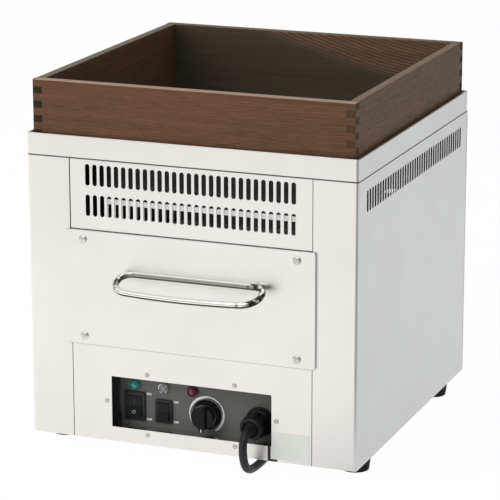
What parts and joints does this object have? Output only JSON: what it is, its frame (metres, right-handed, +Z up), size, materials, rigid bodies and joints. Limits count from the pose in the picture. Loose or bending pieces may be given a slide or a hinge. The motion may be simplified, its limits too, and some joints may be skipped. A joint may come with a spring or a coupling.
{
  "type": "electric fish roaster",
  "caption": "Square stainless counter-top electric fish roaster with a lift-off timber guard round an open well, a drip drawer and a recessed timer and switch tray.",
  "frame": {"origin": "on the surface that it stands on, under the middle of the cabinet's plan", "axes": "+Z up; +X to the right of someone facing the controls, -Y towards them"},
  "size_m": [0.4, 0.6125, 0.4338],
  "materials": {
    "satin_steel": "satin, fine upright grain",
    "bright_steel": "bright, unpolished bends",
    "chrome_bar": "polished",
    "screw_steel": "turned",
    "guard_wood": "oiled, open grain",
    "black_rubber": "matte",
    "panel_grey": "satin dark grey",
    "dark_metal": "satin black",
    "black_plastic": "fine moulded texture",
    "gloss_black": "smooth",
    "green_lens": "tinted, clear",
    "clear_lens": "frosted",
    "red_lens": "tinted, clear",
    "lamp_ring": "bright",
    "heater_sheath": "heat-stained",
    "ceramic_white": "unglazed",
    "grate_wire": "plated wire",
    "galvanised": "zinc-coated",
    "lead_sheath": "matte",
    "block_plastic": "matte"
  },
  "bodies": {
    "cabinet": {"left_side_panel": "satin_steel", "right_side_panel": "satin_steel", "back_panel": "satin_steel", "base_pan": "galvanised", "vent_panel": "satin_steel", "vent_baffle": "bright_steel", "drawer_head_rail": "bright_steel", "lower_panel": "satin_steel", "drawer_deck": "galvanised", "top_cover": "satin_steel", "guard_gasket": "black_rubber", "chamber_liner": "bright_steel", "front_heater": "heater_sheath", "middle_heater": "heater_sheath", "rear_heater": "heater_sheath", "heater_terminals": "ceramic_white", "heater_rests": "bright_steel", "left_runner": "galvanised", "right_runner": "galvanised", "control_tray": "bright_steel", "left_tray_end": "dark_metal", "right_tray_end": "dark_metal", "control_plate": "panel_grey", "tray_rivets": "screw_steel", "keeper_strip": "dark_metal", "main_switch": "black_plastic", "heater_switch": "black_plastic", "power_lamp": "green_lens", "supply_lamp": "clear_lens", "heat_lamp": "red_lens", "lamp_collars": "lamp_ring", "lamp_bodies": "block_plastic", "timer_body": "block_plastic", "inlet_flange": "black_plastic", "cord_connector": "black_plastic", "connector_collar": "black_rubber", "terminal_block": "block_plastic", "contactor": "block_plastic", "feet": "black_rubber", "foot_screws": "screw_steel", "back_screws": "screw_steel", "mains_lead": "lead_sheath", "lead_coil": "lead_sheath", "wall_plug": "black_plastic"},
    "drawer": {"drawer_front": "satin_steel", "drawer_box": "bright_steel", "drawer_screws": "screw_steel", "drawer_handle": "chrome_bar", "handle_studs": "screw_steel"},
    "drip_tray": {"drip_tray": "bright_steel"},
    "timber_guard": {"guard_front_board": "guard_wood", "guard_back_board": "guard_wood", "guard_left_board": "guard_wood", "guard_right_board": "guard_wood"},
    "grate": {"roasting_grate": "grate_wire"},
    "main_rocker": {"main_rocker": "gloss_black"},
    "heater_rocker": {"heater_rocker": "gloss_black"},
    "timer": {"timer_knob": "gloss_black", "timer_shaft": "screw_steel"}
  },
  "joints": [
    {"name": "drawer_slide", "type": "slide", "parent": "cabinet", "child": "drawer", "axis": [0, -1, 0], "range_m": [0, 0.28]},
    {"name": "drip_tray_lift", "type": "slide", "parent": "drawer", "child": "drip_tray", "axis": [0, 0, 1], "range_m": [0, 0.08]},
    {"name": "guard_lift", "type": "slide", "parent": "cabinet", "child": "timber_guard", "axis": [0, 0, 1], "range_m": [0, 0.15]},
    {"name": "grate_lift", "type": "slide", "parent": "cabinet", "child": "grate", "axis": [0, 0, 1], "range_m": [0, 0.12]},
    {"name": "main_rocker_tilt", "type": "hinge", "parent": "cabinet", "child": "main_rocker", "pos_m": [-0.08, -0.1802, 0.0525], "axis": [1, 0, 0], "range_deg": [0, 16]},
    {"name": "heater_rocker_tilt", "type": "hinge", "parent": "cabinet", "child": "heater_rocker", "pos_m": [-0.0438, -0.1802, 0.0496], "axis": [1, 0, 0], "range_deg": [0, 16]},
    {"name": "timer_turn", "type": "hinge", "parent": "cabinet", "child": "timer", "pos_m": [0.0096, -0.19, 0.0519], "axis": [0, 1, 0], "range_deg": [0, 315]}
  ]
}
